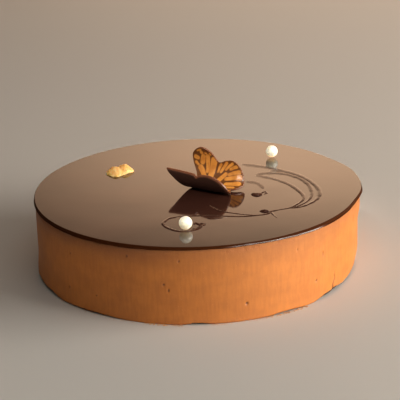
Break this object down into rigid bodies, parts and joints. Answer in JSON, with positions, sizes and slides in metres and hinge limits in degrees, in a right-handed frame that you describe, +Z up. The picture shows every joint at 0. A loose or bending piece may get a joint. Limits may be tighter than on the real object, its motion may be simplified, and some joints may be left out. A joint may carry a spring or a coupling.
{
  "type": "glazed mousse cake",
  "caption": "Round chocolate mousse cake with a dark mirror glaze, sugar pearls, a folded chocolate butterfly and a flake of gold leaf.",
  "frame": {"origin": "middle of the cake's flat underside, on the surface it stands on", "axes": "+Z up through the middle of the cake, -Y to the front that the picture shows, +X to the right"},
  "size_m": [0.2, 0.2, 0.0692],
  "materials": {
    "biscuit": "crumbly dark chocolate biscuit",
    "mousse": "smooth milk chocolate mousse, satin, with fine pores",
    "glaze": "dark chocolate mirror glaze, wet gloss",
    "pearl": "cream-white pearl, soft gloss",
    "butterfly": "chocolate with orange and dark brown veins, satin",
    "gold_leaf": "crumpled edible gold leaf"
  },
  "bodies": {
    "root": {"base_biscuit": "biscuit", "mousse_body": "mousse", "mirror_glaze": "glaze", "pearl_front": "pearl", "pearl_back": "pearl", "butterfly": "butterfly", "gold_leaf": "gold_leaf"}
  },
  "joints": []
}
